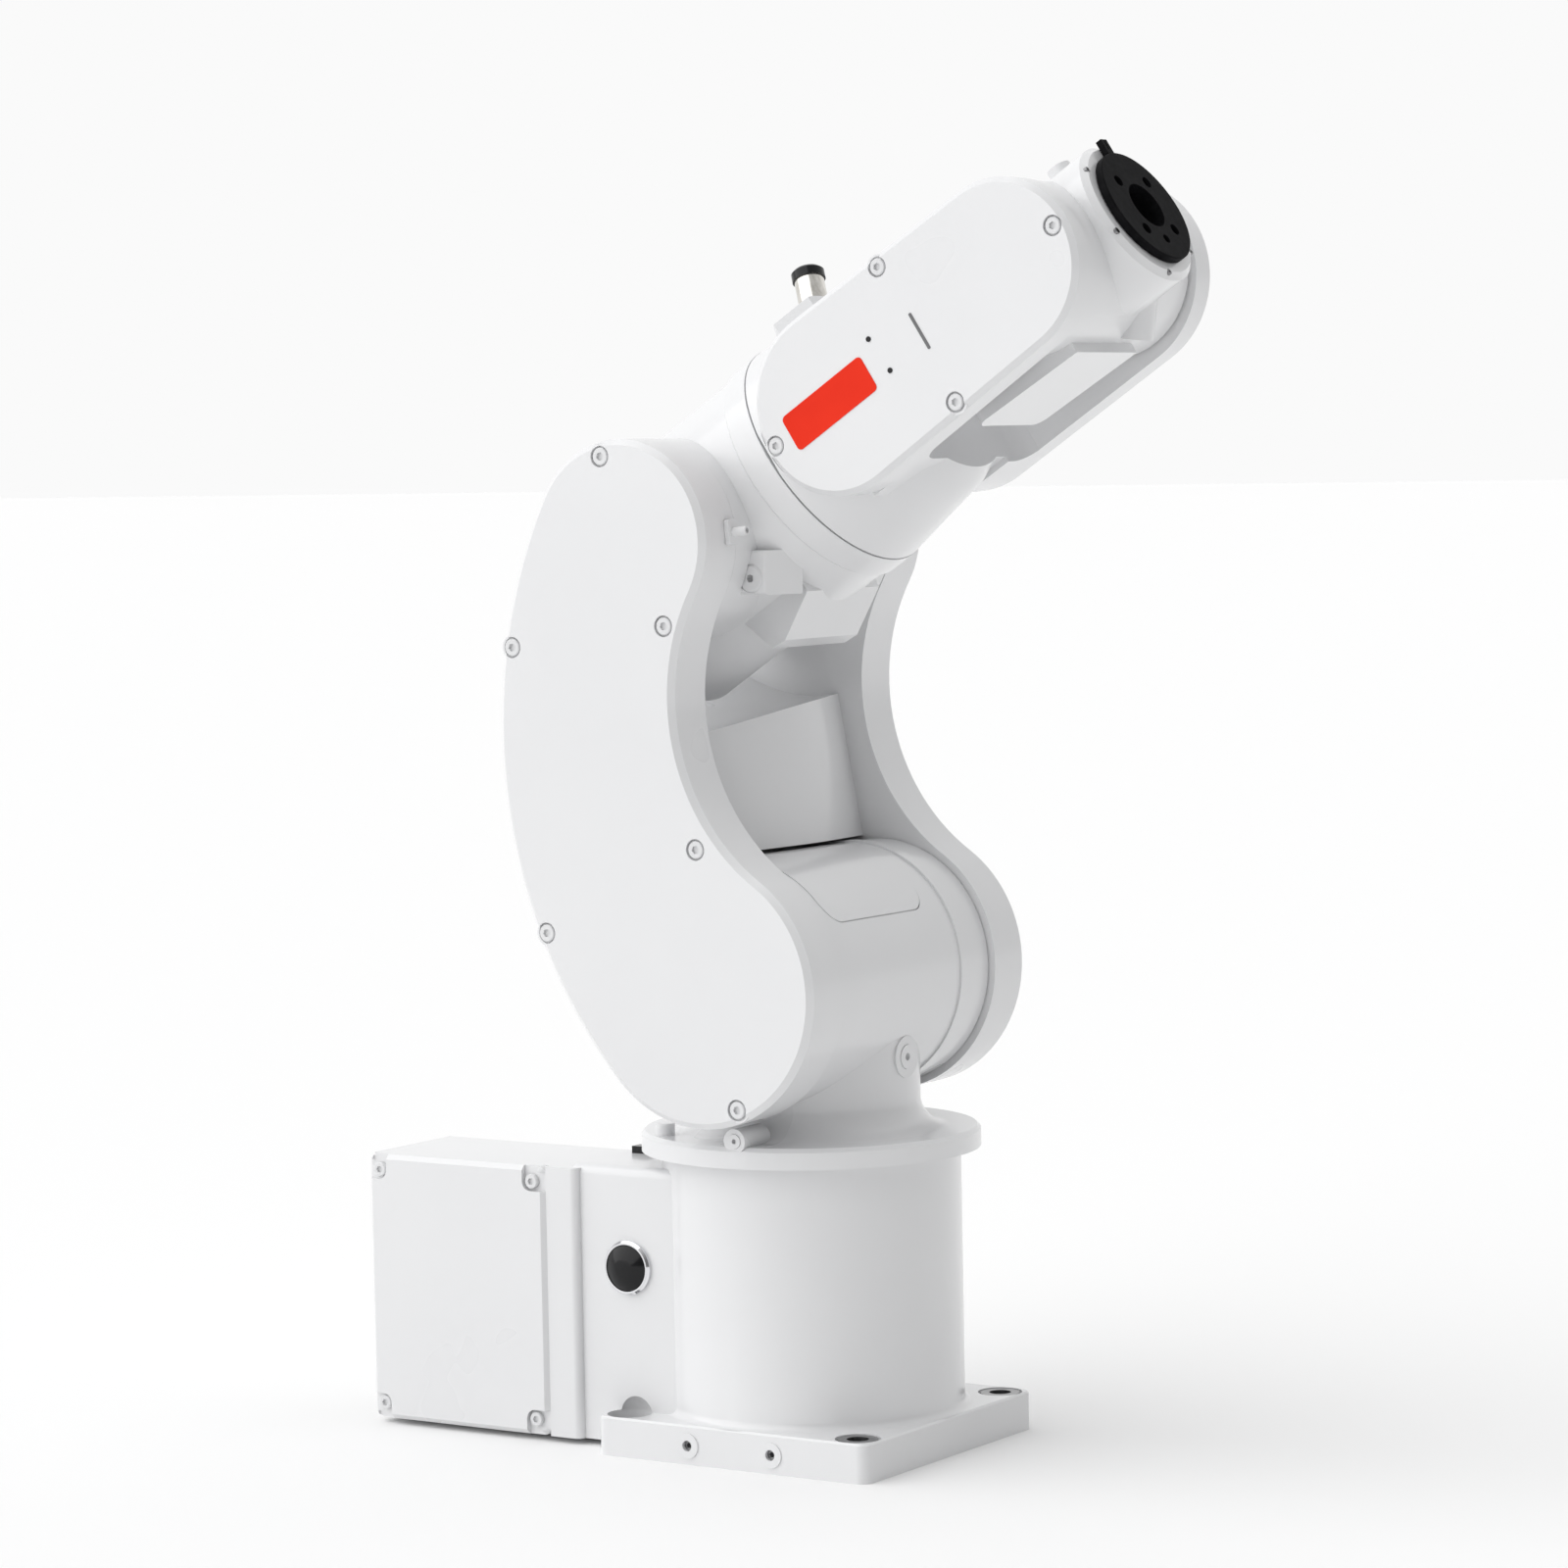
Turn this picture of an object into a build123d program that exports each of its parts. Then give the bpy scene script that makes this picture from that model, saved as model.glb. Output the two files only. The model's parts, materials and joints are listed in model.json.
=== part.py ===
"""Desktop six-axis robot arm, modelled as the separate pieces it comes apart into.

Row frame: origin on the underside of the base plate, on axis 1. +Z is up, +X is the way the arm
reaches, and -Y is the side with the long arm covers. All sizes are in millimetres.

The arm is modelled in its stored pose: axes 1, 4, 5 and 6 at zero, the lower arm leaning back and
the forearm raised. The lower arm is drawn in a local frame whose origin is axis 2 and whose Z points
at axis 3. The elbow, forearm, wrist and flange are drawn in a local frame whose origin is axis 3 and
whose X is axis 4, towards the tool.
"""

import os
from math import asin, atan2, cos, degrees, hypot, radians, sin

from build123d import *

# ---------------------------------------------------------------- kinematics
AXIS_2_HEIGHT = 193.0
LOWER_ARM_LENGTH = 181.2
UPPER_ARM_LENGTH = 190.0
LOWER_ARM_LEAN = 10.7
FOREARM_RISE = 33.0
AXIS_3_X = -LOWER_ARM_LENGTH * sin(radians(LOWER_ARM_LEAN))
AXIS_3_HEIGHT = AXIS_2_HEIGHT + LOWER_ARM_LENGTH * cos(radians(LOWER_ARM_LEAN))

# ---------------------------------------------------------------- base
PLATE = 130.0
PLATE_THICK = 16.0
PLATE_CORNER = 5.0
MOUNT_PITCH = 110.0
MOUNT_HOLE_R = 4.5
BUSH_R = 6.5
BUSH_FLANGE_R = 8.2
SPOTFACE_R = 9.2
DEEP_BUSH = (-MOUNT_PITCH / 2, -MOUNT_PITCH / 2)
DEEP_BUSH_TOP = 8.0
COLUMN_R = 61.2
COLUMN_TOP = 121.4
COLUMN_BORE_R = 53.0
COLUMN_COLLAR_R = 41.2
COLLAR_BOTTOM = 100.0
BOX_REAR = -187.0
BOX_FRONT = -81.0
BOX_LOW = 2.5
BOX_HIGH = 114.5
BOX_NEAR = -50.0
BOX_FAR = 2.0
BOX_WALL = 4.0
COVER_FRONT = -96.0
SIDE_COVER_THICK = 5.0
STRIP_NEAR = -53.5
NECK_HIGH = 116.0
NECK_FAR = -3.0
BUTTON_X = -57.6
BUTTON_Z = 75.0
BUTTON_R = 9.3
BUTTON_BARREL_R = 10.4
BUTTON_TRAVEL = 2.0

# ---------------------------------------------------------------- turntable
RING_R = 69.5
RING_LOW = 122.2
RING_HIGH = 130.7
PEDESTAL_R = 45.0
PEDESTAL_FLARE = 12.0
HOUSING_R = 51.0
HOUSING_HALF = 57.7
HOUSING_BORE_R = 46.0

# ---------------------------------------------------------------- lower arm
LOBE_2_R = 54.0
LOBE_3_R = 41.2
BACK_ARC_R = 205.0
FRONT_ARC_R = 85.0
ARM_INNER = 58.3
ARM_OUTER = 81.6
ARM_WALL = 4.0
ARM_COVER_THICK = 3.4
COVER_BEVEL = 2.4
TRUNNION_R = 17.45
BEARING_BORE_R = 17.5
BEARING_OUTER_R = 26.0
MOTOR_PULLEY_T = -38.0
MOTOR_PULLEY_H = 82.0
A3_PULLEY_R = 15.0

# ---------------------------------------------------------------- elbow, forearm, wrist
BARREL_HALF = 57.9
ELBOW_R = 49.5
ELBOW_RIM_R = 51.0
ELBOW_REAR = -46.0
SEAM_4 = 61.5
FOREARM_START = 62.2
FOREARM_HALF = 51.8
SLOT_START = 100.0
SLOT_R = 37.3
SLOT_END_R = 35.0
FAR_SIDE_START = 103.0
FAR_SIDE_END = 188.0
FAR_SIDE_R = 38.2
FAR_SIDE_DROP = 1.0
FORK_ROOT = 122.0
FORK_FLOOR = 114.0
FORK_INNER_LEFT = -38.3
FORK_INNER_RIGHT = 39.0
FOREARM_COVER_THICK = 3.2
AXIS_5 = UPPER_ARM_LENGTH
WRIST_BARREL_R = 34.2
WRIST_FAR = 37.8
HEAD_R = 31.2
FACE_LOW = AXIS_5 + 35.4
FACE_HIGH = AXIS_5 + 40.3
FLANGE_LOW = AXIS_5 + 40.7
FLANGE_HIGH = AXIS_5 + 44.0
FLANGE_R = 25.0
FLANGE_BORE_R = 10.0
FLANGE_PCD = 31.5
FLANGE_HOLE_R = 2.5
BELT_THICK = 1.4
BELT_GAP = 0.3


# ---------------------------------------------------------------- helpers
def block(x0, x1, y0, y1, z0, z1):
    """A box between two corners."""
    centre = Pos((x0 + x1) / 2, (y0 + y1) / 2, (z0 + z1) / 2)
    return centre * Box(x1 - x0, y1 - y0, z1 - z0)


def rod_x(r, x0, x1, y=0.0, z=0.0):
    return Pos((x0 + x1) / 2, y, z) * Rot(0, 90, 0) * Cylinder(r, x1 - x0)


def rod_y(r, y0, y1, x=0.0, z=0.0):
    return Pos(x, (y0 + y1) / 2, z) * Rot(90, 0, 0) * Cylinder(r, y1 - y0)


def rod_z(r, z0, z1, x=0.0, y=0.0):
    return Pos(x, y, (z0 + z1) / 2) * Cylinder(r, z1 - z0)


def slab_y(sketch, y0, y1):
    """A sketch of (X, Z) points, extruded between two Y values."""
    side = Plane((0, y1, 0), x_dir=(1, 0, 0), z_dir=(0, -1, 0))
    return extrude(side * sketch, y1 - y0)


def bevel(shape, axis, at, size):
    """Chamfer the edges of shape that lie in the plane where axis equals at."""
    edges = [e for e in shape.edges() if all(abs(getattr(v, axis) - at) < 1e-4 for v in e.vertices())]
    return chamfer(edges, size)


def foot_fillet(r, size, z):
    """A concave ring round a post of radius r that stands on a face at height z."""
    corner = Pos(r + size / 2, z + size / 2) * Rectangle(size, size)
    profile = corner - Pos(r + size, z + size) * Circle(size)
    return revolve(Plane.XZ * profile, Axis.Z)


def in_lower_arm(shape):
    return Pos(0, 0, AXIS_2_HEIGHT) * Rot(0, -LOWER_ARM_LEAN, 0) * shape


def in_forearm(shape):
    return Pos(AXIS_3_X, 0, AXIS_3_HEIGHT) * Rot(0, -FOREARM_RISE, 0) * shape


FACING = {"-Y": Rot(90, 0, 0), "+Y": Rot(-90, 0, 0), "-X": Rot(0, -90, 0), "+X": Rot(0, 90, 0),
          "-Z": Rot(180, 0, 0), "+Z": Rot(0, 0, 0)}


def cap_screw(head_r=3.4, head_h=2.0, shank_r=1.5, shank=7.0):
    """A socket screw with its head's top at the origin and its shank along -Z."""
    head = bevel(rod_z(head_r, -head_h, 0), "Z", 0, 0.35)
    body = head + rod_z(shank_r, -head_h - shank, -head_h)
    socket = extrude(RegularPolygon(head_r * 0.5, 6), -head_h * 0.6)
    return body - socket


def screws(places, facing, **sizes):
    """One solid for each place, as one group."""
    one = cap_screw(**sizes)
    return Compound([Pos(*p) * FACING[facing] * one for p in places])


def holes_y(places, r, y0, y1):
    """Rods along Y through each (x, z), to cut or to add."""
    tool = rod_y(r, y0, y1, *places[0])
    for x, z in places[1:]:
        tool += rod_y(r, y0, y1, x, z)
    return tool


def polar(centre, r, angle):
    return (centre[0] + r * cos(angle), centre[1] + r * sin(angle))


# ---------------------------------------------------------------- outlines
def tangent_centre(d2, d3, side):
    """The point at distance d2 from axis 2 and d3 from axis 3, on the +X side, in lower arm axes."""
    h = (d2 ** 2 - d3 ** 2 + LOWER_ARM_LENGTH ** 2) / (2 * LOWER_ARM_LENGTH)
    return (side * (d2 ** 2 - h ** 2) ** 0.5, h)


def bean(inset=0.0):
    """The lower arm's outline: two lobes joined by a long back arc and a hollow front arc."""
    two = (0.0, 0.0)
    three = (0.0, LOWER_ARM_LENGTH)
    back = tangent_centre(BACK_ARC_R - LOBE_2_R, BACK_ARC_R - LOBE_3_R, 1)
    front = tangent_centre(FRONT_ARC_R + LOBE_2_R, FRONT_ARC_R + LOBE_3_R, 1)
    back_r = BACK_ARC_R - inset
    front_r = FRONT_ARC_R + inset
    r2 = LOBE_2_R - inset
    r3 = LOBE_3_R - inset
    back_2 = atan2(two[1] - back[1], two[0] - back[0])
    back_3 = atan2(three[1] - back[1], three[0] - back[0])
    front_2 = atan2(front[1] - two[1], front[0] - two[0])
    front_3 = atan2(front[1] - three[1], front[0] - three[0])
    full = radians(360)
    p2 = polar(two, r2, back_2)
    p3 = polar(three, r3, back_3)
    q2 = polar(two, r2, front_2)
    q3 = polar(three, r3, front_3)
    back_mid = polar(back, back_r, (back_2 + full + back_3) / 2)
    front_mid = polar(front, front_r, (front_2 + front_3) / 2 + full / 2)
    top_mid = polar(three, r3, (back_3 + front_3) / 2)
    low_mid = polar(two, r2, (back_2 + front_2) / 2)
    edges = [ThreePointArc(p2, back_mid, p3), ThreePointArc(p3, top_mid, q3),
             ThreePointArc(q3, front_mid, q2), ThreePointArc(q2, low_mid, p2)]
    return make_face(edges)


def tapered_slot(x0, r0, x1, r1):
    """Two circles on the X axis and the lines that touch both."""
    lean = asin((r0 - r1) / (x1 - x0))
    a = (x0 + r0 * sin(lean), r0 * cos(lean))
    b = (x1 + r1 * sin(lean), r1 * cos(lean))
    edges = [Line(a, b), ThreePointArc(b, (x1 + r1, 0), (b[0], -b[1])),
             Line((b[0], -b[1]), (a[0], -a[1])), ThreePointArc((a[0], -a[1]), (x0 - r0, 0), a)]
    return make_face(edges)


def forearm_outline(inset=0.0):
    return tapered_slot(SLOT_START, SLOT_R - inset, AXIS_5, SLOT_END_R - inset)


def servo_motor(body_r, length, shaft_r, shaft):
    """A round servo motor along Z: rear cap, finned body, front flange and shaft at the top."""
    motor = rod_z(body_r, 0, length)
    for k in range(5):
        low = length * (0.3 + 0.1 * k)
        groove = rod_z(body_r + 1, low, low + 2) - rod_z(body_r - 1.2, low, low + 2)
        motor -= groove
    motor = bevel(motor, "Z", 0, 2.0)
    return motor + rod_z(shaft_r, length, length + shaft)


def ring_bearing(outer, inner, y0, y1):
    """A bearing along Y with a shallow groove between its two races on both faces."""
    middle = (outer + inner) / 2
    body = rod_y(outer, y0, y1) - rod_y(inner, y0, y1)
    groove = rod_y(middle + 1.6, y0, y0 + 0.8) - rod_y(middle - 1.6, y0, y0 + 0.8)
    body -= groove
    return body - Pos(0, y1 - y0 - 0.8, 0) * groove


def pulley_y(r, y0, y1, hub_r, flange, nose):
    """A belt pulley along Y with a thin flange each side of the belt."""
    rim = rod_y(r, y0, y1)
    low = rod_y(r + flange, y0, y0 + 0.8)
    high = rod_y(r + flange, y1 - 0.8, y1)
    return rim + low + high + rod_y(hub_r, y0 - nose, y0)


def belt_y(centre_a, r_a, centre_b, r_b, y0, y1):
    """A closed belt round two pulleys whose axes run along Y."""
    along = degrees(atan2(centre_b[1] - centre_a[1], centre_b[0] - centre_a[0]))
    span = hypot(centre_b[0] - centre_a[0], centre_b[1] - centre_a[1])
    inner = tapered_slot(0, r_a, span, r_b)
    outer = tapered_slot(0, r_a + BELT_THICK, span, r_b + BELT_THICK)
    loop = slab_y(outer - inner, y0, y1)
    return Pos(centre_a[0], 0, centre_a[1]) * Rot(0, -along, 0) * loop


# ---------------------------------------------------------------- base pieces
MOUNT_PLACES = [(sx * MOUNT_PITCH / 2, sy * MOUNT_PITCH / 2) for sx in (-1, 1) for sy in (-1, 1)]
SIDE_COVER_SCREWS = [(-181.5, 108.0), (-103.0, 108.0), (-181.5, 9.0), (-103.0, 9.0)]
TUNNEL = (-103.0, -45.0, -44.0, -9.0, 28.0, 98.0)
REAR_WINDOW = (-187.0, -183.0, -44.0, -4.0, 14.0, 102.0)
BOTTOM_SCREWS = [(48.0 * cos(radians(a)), 48.0 * sin(radians(a))) for a in (45, 135, 225, 315)]


def bush_top(place):
    """The height of a bush's flange. The one beside the neck sits deep, to leave room for its screw."""
    return DEEP_BUSH_TOP if place == DEEP_BUSH else PLATE_THICK - 0.2


def base_casting():
    plate = extrude(RectangleRounded(PLATE, PLATE, PLATE_CORNER), PLATE_THICK)
    plate = bevel(plate, "Z", PLATE_THICK, 0.8)
    column = rod_z(COLUMN_R, PLATE_THICK, COLUMN_TOP) + foot_fillet(COLUMN_R, 3.4, PLATE_THICK)
    neck = block(BOX_FRONT - 4, -30, BOX_NEAR, NECK_FAR, BOX_LOW, NECK_HIGH)
    neck = fillet(neck.edges().filter_by(Axis.X).group_by(Axis.Z)[-1], 4)
    box = block(BOX_REAR, COVER_FRONT, BOX_NEAR, BOX_FAR, BOX_LOW, BOX_HIGH)
    strip = block(COVER_FRONT, BOX_FRONT, STRIP_NEAR, BOX_FAR, BOX_LOW, BOX_HIGH)
    strip = fillet(strip.edges().filter_by(Axis.Z).group_by(Axis.X)[-1], 3)
    body = plate + column + neck + box + strip
    body -= rod_z(COLUMN_BORE_R, 0, COLLAR_BOTTOM)
    body -= rod_z(COLUMN_BORE_R + 3, 0, 4)
    body -= rod_z(COLUMN_COLLAR_R, COLLAR_BOTTOM - 1, COLUMN_TOP + 1)
    hollow = block(BOX_REAR + BOX_WALL, COVER_FRONT - 5, BOX_NEAR - 1, BOX_FAR - BOX_WALL,
                   BOX_LOW + BOX_WALL, BOX_HIGH - BOX_WALL)
    body -= hollow - holes_y(SIDE_COVER_SCREWS, 6.5, BOX_NEAR, BOX_FAR)
    body -= holes_y(SIDE_COVER_SCREWS, 1.6, BOX_NEAR - 4, BOX_NEAR + 9)
    body -= block(*TUNNEL)
    body -= block(*REAR_WINDOW)
    for y, z in PANEL_SCREWS:
        body -= rod_x(1.6, BOX_REAR - 1, BOX_REAR + 6, y, z)
    body -= rod_y(BUTTON_BARREL_R + 0.05, BOX_NEAR - 1, -43, BUTTON_X, BUTTON_Z)
    for x, y in MOUNT_PLACES:
        body -= rod_z(BUSH_R, -1, PLATE_THICK + 1, x, y)
        body -= rod_z(SPOTFACE_R, bush_top((x, y)) - 1.4, PLATE_THICK + 0.1, x, y)
    body -= Pos(*DEEP_BUSH, PLATE_THICK - 1.5) * Sphere(SPOTFACE_R)
    for x in (-20, 20):
        body += rod_y(5.2, -PLATE / 2 - 0.5, -PLATE / 2, x, 7.7)
        body -= rod_y(2.2, -PLATE / 2 - 1, -PLATE / 2 + 9, x, 7.7)
    body += BOTTOM_BOSSES
    for x, y in BOTTOM_SCREWS:
        body -= rod_z(1.6, 0, 14, x, y)
    return body


def bottom_bosses():
    """Four pads on the column's inner wall that the bottom cover's screws go into."""
    pads = None
    for x, y in BOTTOM_SCREWS:
        pad = rod_z(6.0, 4, 16, x, y)
        pads = pad if pads is None else pads + pad
    return pads


BOTTOM_BOSSES = bottom_bosses()


def base_bottom_cover():
    cover = rod_z(COLUMN_BORE_R + 2.8, 0.5, 4.0)
    for x, y in BOTTOM_SCREWS:
        cover -= rod_z(1.7, 0, 5, x, y)
        cover -= rod_z(3.3, 0, 2.5, x, y)
    return cover


def base_side_cover():
    near = BOX_NEAR - SIDE_COVER_THICK
    panel = block(BOX_REAR, COVER_FRONT, near, BOX_NEAR, BOX_LOW, BOX_HIGH)
    panel = fillet(panel.edges().filter_by(Axis.Y), 4)
    panel = bevel(panel, "Y", near, 2.0)
    panel -= block(BOX_REAR + 8, COVER_FRONT - 9, BOX_NEAR - 2.5, BOX_NEAR + 1, 14, 103)
    panel -= holes_y(SIDE_COVER_SCREWS, 4.0, near - 1, near + 2.6)
    for x, z in SIDE_COVER_SCREWS:
        out_x = -1 if x < -140 else 1
        out_z = 1 if z > 50 else -1
        notch = block(min(x, x + 12 * out_x), max(x, x + 12 * out_x), near - 1, near + 2.6,
                      z - 4.0, z + 4.0)
        tall = block(x - 4.0, x + 4.0, near - 1, near + 2.6, min(z, z + 12 * out_z), max(z, z + 12 * out_z))
        panel -= notch
        panel -= tall
    return panel - holes_y(SIDE_COVER_SCREWS, 1.7, near - 1, BOX_NEAR + 1)


PANEL_SCREWS = [(y, z) for y in (-45.5, -2.5) for z in (13.0, 103.0)]
AIR_PLACES = [(-34.0, 24.0), (-25.5, 24.0), (-17.0, 24.0), (-8.5, 24.0)]
PANEL_FACE = BOX_REAR - 2.0
AIR_TUBE_R = 2.0


def rear_panel():
    panel = block(PANEL_FACE, BOX_REAR, -49.0, 1.0, 9.5, 106.5)
    panel = bevel(panel, "X", PANEL_FACE, 0.6)
    panel -= block(PANEL_FACE - 1, BOX_REAR + 1, -32, -6, 61, 95)
    panel -= rod_x(8.2, PANEL_FACE - 1, BOX_REAR + 1, -25, 44)
    for y, z in AIR_PLACES:
        panel -= rod_x(3.1, PANEL_FACE - 1, BOX_REAR + 1, y, z)
    for y, z in PANEL_SCREWS:
        panel -= rod_x(1.7, PANEL_FACE - 1, BOX_REAR + 1, y, z)
    return panel


def base_cover_screws():
    """The twelve equal screws that hold the side cover, the rear panel and the bottom cover."""
    side = [Pos(x, BOX_NEAR - SIDE_COVER_THICK + 0.6, z) * FACING["-Y"] for x, z in SIDE_COVER_SCREWS]
    rear = [Pos(PANEL_FACE - 1.8, y, z) * FACING["-X"] for y, z in PANEL_SCREWS]
    under = [Pos(x, y, 0.7) * FACING["-Z"] for x, y in BOTTOM_SCREWS]
    one = cap_screw(head_r=3.0, head_h=1.8, shank_r=1.5, shank=6.0)
    return Compound([place * one for place in side + rear + under])


def power_connector():
    shell = block(PANEL_FACE - 10, PANEL_FACE, -35, -3, 58, 98)
    shell = fillet(shell.edges().filter_by(Axis.X), 2.5)
    shell -= block(PANEL_FACE - 11, PANEL_FACE - 6.5, -31, -7, 62, 94)
    shell += block(PANEL_FACE, BOX_REAR + 12, -31.8, -6.2, 61.2, 94.8)
    shell += block(PANEL_FACE - 9, PANEL_FACE - 6.5, -28, -10, 68, 90)
    for i in range(4):
        for j in range(3):
            shell -= rod_x(1.2, PANEL_FACE - 10, PANEL_FACE - 5, -25 + 4 * i, 72 + 7 * j)
    return shell


def signal_connector():
    shell = rod_x(10.5, PANEL_FACE - 2, PANEL_FACE, -25, 44) + rod_x(8.0, PANEL_FACE - 9, PANEL_FACE, -25, 44)
    shell += rod_x(8.0, PANEL_FACE, BOX_REAR + 12, -25, 44)
    shell -= rod_x(6.6, PANEL_FACE - 10, PANEL_FACE - 5.5, -25, 44)
    pins = rod_x(0.7, PANEL_FACE - 8, PANEL_FACE, -25, 44)
    for k in range(6):
        angle = radians(60 * k)
        pins += rod_x(0.7, PANEL_FACE - 8, PANEL_FACE, -25 + 3.8 * cos(angle), 44 + 3.8 * sin(angle))
    return shell + pins


def air_inlets():
    fittings = []
    for y, z in AIR_PLACES:
        body = rod_x(4.2, PANEL_FACE - 6, PANEL_FACE, y, z) + rod_x(3.0, PANEL_FACE - 9, BOX_REAR + 6, y, z)
        fittings.append(body - rod_x(AIR_TUBE_R, PANEL_FACE - 10, BOX_REAR + 7, y, z))
    return Compound(fittings)


def mounting_bushes():
    bushes = []
    for x, y in MOUNT_PLACES:
        top = bush_top((x, y))
        bush = rod_z(BUSH_R, 0, top - 1.4, x, y)
        bush += rod_z(BUSH_FLANGE_R, top - 1.4, top, x, y)
        bushes.append(bush - rod_z(MOUNT_HOLE_R, -1, PLATE_THICK + 1, x, y))
    return Compound(bushes)


def plate_side_screws():
    places = [(x, -PLATE / 2 + 1.2, 7.7) for x in (-20, 20)]
    one = rod_z(2.1, -7, 0) - extrude(RegularPolygon(1.2, 6), -2)
    return Compound([Pos(*p) * FACING["-Y"] * one for p in places])


def brake_button_bezel():
    rim = rod_y(11.2, BOX_NEAR - 2.2, BOX_NEAR, BUTTON_X, BUTTON_Z)
    rim = bevel(rim, "Y", BOX_NEAR - 2.2, 0.9)
    rim += rod_y(BUTTON_BARREL_R, BOX_NEAR, -36, BUTTON_X, BUTTON_Z)
    rim += rod_y(12.2, -44, -41, BUTTON_X, BUTTON_Z)
    return rim - rod_y(BUTTON_R + 0.35, BOX_NEAR - 3, -38, BUTTON_X, BUTTON_Z)


def brake_button_cap():
    cap = rod_y(BUTTON_R, BOX_NEAR - 4.2, BOX_NEAR + 3, BUTTON_X, BUTTON_Z)
    dome = Pos(BUTTON_X, BOX_NEAR + 14.0, BUTTON_Z) * Sphere(18.6)
    stem = rod_y(4.0, BOX_NEAR + 3, -40.5, BUTTON_X, BUTTON_Z)
    return (cap & dome) + stem


def a1_motor():
    return Pos(0, 0, 28) * servo_motor(28, 62, 6, 8)


def a1_reducer():
    body = rod_z(49.5, 90, COLLAR_BOTTOM) + rod_z(40.8, COLLAR_BOTTOM, 117.8)
    body -= rod_z(28, 90, 93)
    body -= rod_z(7, 93, 120)
    return body + (rod_z(12, 93, 100) - rod_z(7, 93, 100))


def cable_clip():
    """A small black clip on the base's shoulder, beside the turntable ring."""
    return block(-80, -73, -14, -8, NECK_HIGH, NECK_HIGH + 3)


# ---------------------------------------------------------------- turntable pieces
LID_ANGLE = 63.0
LID_CENTRE_Y = -14.0
LID_LENGTH = 72.0
LID_WIDTH = 53.0


def lid_prism(grow):
    """A rounded bar that points out of the housing where the service lid lies."""
    shape = RectangleRounded(LID_WIDTH + 2 * grow, LID_LENGTH + 2 * grow, 9 + grow)
    bar = Pos(0, LID_CENTRE_Y, 0) * extrude(shape, 80)
    return Pos(0, 0, AXIS_2_HEIGHT) * Rot(0, 90 - LID_ANGLE, 0) * bar


def turntable_casting():
    ring = bevel(rod_z(RING_R, RING_LOW, RING_HIGH), "Z", RING_HIGH, 1.6)
    body = ring + rod_z(38, 118.3, RING_LOW)
    body += rod_z(PEDESTAL_R, RING_HIGH, AXIS_2_HEIGHT - 12)
    body += foot_fillet(PEDESTAL_R, PEDESTAL_FLARE, RING_HIGH)
    body += rod_y(HOUSING_R, -HOUSING_HALF, HOUSING_HALF, 0, AXIS_2_HEIGHT)
    body += rod_y(HOUSING_R + 0.8, 35.5, 41.0, 0, AXIS_2_HEIGHT)
    body += rod_x(8.5, 20, 45.5, 2, 161)
    body += rod_y(5.0, -68.6, -50, 8, 133.2)
    body += rod_z(4.0, RING_HIGH - 1, RING_HIGH + 5, -38, -50)
    body -= rod_z(36, 110, 150) - rod_z(36, 110, 124)
    body -= rod_z(20, 110, 160)
    body -= rod_y(HOUSING_BORE_R, -HOUSING_HALF - 1, 44, 0, AXIS_2_HEIGHT)
    body -= rod_y(BEARING_OUTER_R, 43, HOUSING_HALF + 1, 0, AXIS_2_HEIGHT)
    shell = rod_y(HOUSING_R + 3, -60, 60, 0, AXIS_2_HEIGHT) - rod_y(HOUSING_R - 2, -60, 60, 0, AXIS_2_HEIGHT)
    body -= shell & lid_prism(0.4)
    body -= rod_x(5.0, 40, 46, 2, 161)
    body -= rod_y(3.0, -69, -62, 8, 133.2)
    return body


def service_lid():
    shell = rod_y(HOUSING_R + 0.2, -60, 60, 0, AXIS_2_HEIGHT) - rod_y(HOUSING_R - 2, -60, 60, 0, AXIS_2_HEIGHT)
    return shell & lid_prism(0.0)


def calibration_plugs():
    front = rod_x(4.9, 40, 45.9, 2, 161) - rod_x(1.6, 44, 46, 2, 161)
    near = rod_y(2.9, -68.9, -62, 8, 133.2) - rod_y(1.0, -69, -67, 8, 133.2)
    return Compound([front, near])


def a2_motor():
    return Pos(0, 34, AXIS_2_HEIGHT) * Rot(90, 0, 0) * servo_motor(27, 64, 6, 8)


def a2_reducer():
    body = rod_y(HOUSING_BORE_R - 0.1, -HOUSING_HALF + 0.2, -30, 0, AXIS_2_HEIGHT)
    body -= rod_y(29.2, -HOUSING_HALF - 1, -50.6, 0, AXIS_2_HEIGHT)
    return body - rod_y(7, -51, -29, 0, AXIS_2_HEIGHT)


def a2_support_bearing():
    return Pos(0, 0, AXIS_2_HEIGHT) * ring_bearing(BEARING_OUTER_R, BEARING_BORE_R, 45, 56)


# ---------------------------------------------------------------- lower arm pieces (local frame)
ARM_COVER_SCREWS = [(-1.0, 216.4), (-59.5, 150.0), (15.0, 145.0), (11.5, 56.0), (-67.0, 34.5), (9.5, -47.8)]
COVER_SEAM = -ARM_OUTER + ARM_COVER_THICK


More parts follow.
